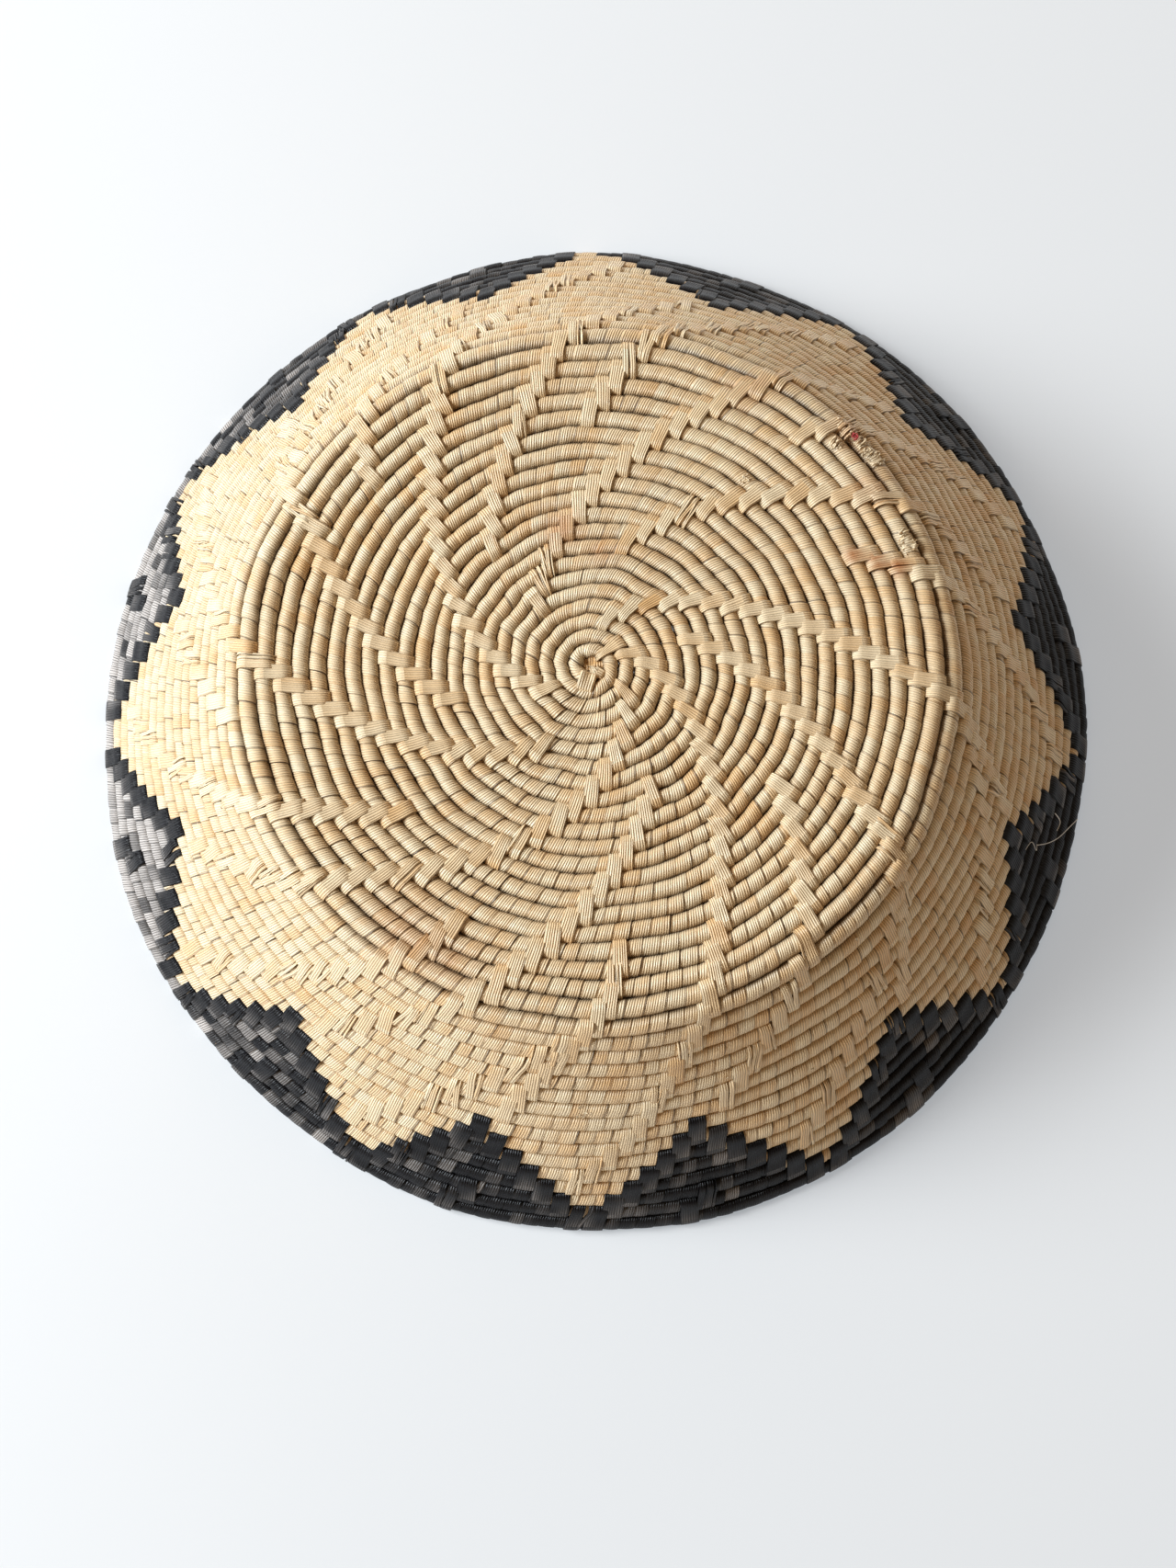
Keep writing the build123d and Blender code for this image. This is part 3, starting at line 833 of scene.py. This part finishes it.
def thread(name, colour, dark):
    """Twisted thread, lighter and darker along its length."""
    n = Nodes(name)
    across, along, chance = n.attribute("strip")
    twist = n.math("SINE", n.math("ADD", n.math("MULTIPLY", across, 3.0), n.math("MULTIPLY", along, 9.0)))
    drift = n.noise(n.vector(across, along, chance), 0.8, 3.0)
    darkened = n.math("MULTIPLY", drift, n.ramp(twist, -1.0, 1.0))
    n.set(n.shader.inputs["Base Color"], n.mix(darkened, colour, dark))
    n.set(n.shader.inputs["Roughness"], n.math("MULTIPLY_ADD", drift, 0.2, 0.6))
    return n.material


NATURAL = leaf("natural_palm", srgb(255, 235, 200), srgb(240, 196, 140), srgb(50, 26, 13),
               rough=0.27, ribs=0.5, faded=(0.22, 0.95))
DYED = leaf("dyed_palm", srgb(208, 200, 194), srgb(16, 16, 23), srgb(2, 2, 3),
            rough=0.25, ribs=0.9, faded=(0.66, 1.8), gloss=0.4, chips=srgb(190, 150, 100))
BUNDLE = leaf("palm_fibres", srgb(170, 130, 85), srgb(120, 85, 50), srgb(60, 40, 22),
              rough=0.7, ribs=0.4, faded=(0.3, 1.0))
RED_THREAD = thread("red_thread", srgb(206, 88, 92), srgb(140, 45, 50))
PALE_THREAD = thread("pale_thread", srgb(250, 249, 247), srgb(214, 211, 206))


def material_for(name):
    if name.startswith("motif") or name in ("rim_turn", "coil_end"):
        return DYED
    return BUNDLE if name.endswith("foundation") else NATURAL


def add_piece(sheaf, name, material):
    piece = sheaf.build(name, material)
    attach(piece, "root")
    return piece


sheaves = {name: Sheaf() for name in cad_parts}
add_wraps(sheaves)
add_all_stitches(sheaves)
add_knot(sheaves["start_knot"])
add_bundle(sheaves["crown_foundation"], 0.5, CROWN_TURNS)
add_bundle(sheaves["wall_foundation"], CROWN_TURNS, COIL_STOP - 0.05)
for name, sheaf in sheaves.items():
    material = material_for(name)
    suffix = "fibres" if material is BUNDLE else "leaf"
    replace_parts(add_piece(sheaf, f"{name}_{suffix}", material), name)
frayed, red, pale = wear()
add_piece(frayed, "frayed_leaf", NATURAL)
add_piece(red, "snagged_thread", RED_THREAD)
add_piece(pale, "loose_ends", PALE_THREAD)


# ---- table, light and camera --------------------------------------------------------------------
TABLE_HALF = 6.0
CAMERA_AT = Vector((-0.0032, -0.3208, 1.2578))
CAMERA_TARGET = Vector((-0.0032, -0.0293, 0.0))
CAMERA_TALL = math.radians(32.0)
# Name, direction and elevation in degrees, distance, width, height, power and colour.
LIGHTS = (("window", 175, 33, 2.8, 1.7, 1.0, 104, (0.86, 0.935, 1.0)),
          ("room", 76, 14, 3.0, 3.0, 1.2, 21, (1.0, 0.92, 0.82)),
          ("room_front", -88, 14, 3.0, 3.0, 1.2, 10, (1.0, 0.92, 0.82)))


def table():
    n = Nodes("table")
    n.set(n.shader.inputs["Base Color"], (0.54, 0.522, 0.504, 1))
    n.set(n.shader.inputs["Emission Color"], (0.80, 0.90, 1, 1))
    n.set(n.shader.inputs["Emission Strength"], 0.34)
    n.set(n.shader.inputs["Roughness"], 0.6)
    mesh = bpy.data.meshes.new("table")
    corners = [(x * TABLE_HALF, y * TABLE_HALF, 0) for x, y in ((-1, -1), (1, -1), (1, 1), (-1, 1))]
    mesh.from_pydata(corners, [], [(0, 1, 2, 3)])
    mesh.materials.append(n.material)
    obj = bpy.data.objects.new("table", mesh)
    bpy.context.scene.collection.objects.link(obj)


def soft_light(name, towards, elevation, distance, wide, tall, power, colour):
    """A rectangle of light aimed at the middle; `towards` is its direction from there on the table."""
    light = bpy.data.lights.new(name, "AREA")
    light.shape = "RECTANGLE"
    light.size, light.size_y = wide, tall
    light.energy = power
    light.color = colour
    obj = bpy.data.objects.new(name, light)
    bpy.context.scene.collection.objects.link(obj)
    towards, elevation = math.radians(towards), math.radians(elevation)
    level = distance * math.cos(elevation)
    obj.location = (level * math.cos(towards), level * math.sin(towards), distance * math.sin(elevation))
    obj.rotation_euler = Vector(-obj.location).to_track_quat("-Z", "Y").to_euler()


def camera():
    data = bpy.data.cameras.new("camera")
    data.sensor_fit = "VERTICAL"
    data.angle = CAMERA_TALL
    obj = bpy.data.objects.new("camera", data)
    bpy.context.scene.collection.objects.link(obj)
    obj.location = CAMERA_AT
    obj.rotation_euler = (CAMERA_TARGET - CAMERA_AT).to_track_quat("-Z", "Y").to_euler()
    bpy.context.scene.camera = obj


def surround():
    """Weak warm light from everywhere, as from the walls of a room."""
    world = bpy.data.worlds.new("world")
    world.use_nodes = True
    background = world.node_tree.nodes["Background"]
    background.inputs["Color"].default_value = (1, 0.73, 0.47, 1)
    background.inputs["Strength"].default_value = 0.18
    bpy.context.scene.world = world


table()
for light in LIGHTS:
    soft_light(*light)
surround()
bpy.context.scene.view_settings.view_transform = "Standard"
bpy.context.scene.view_settings.look = "Medium High Contrast"
camera()
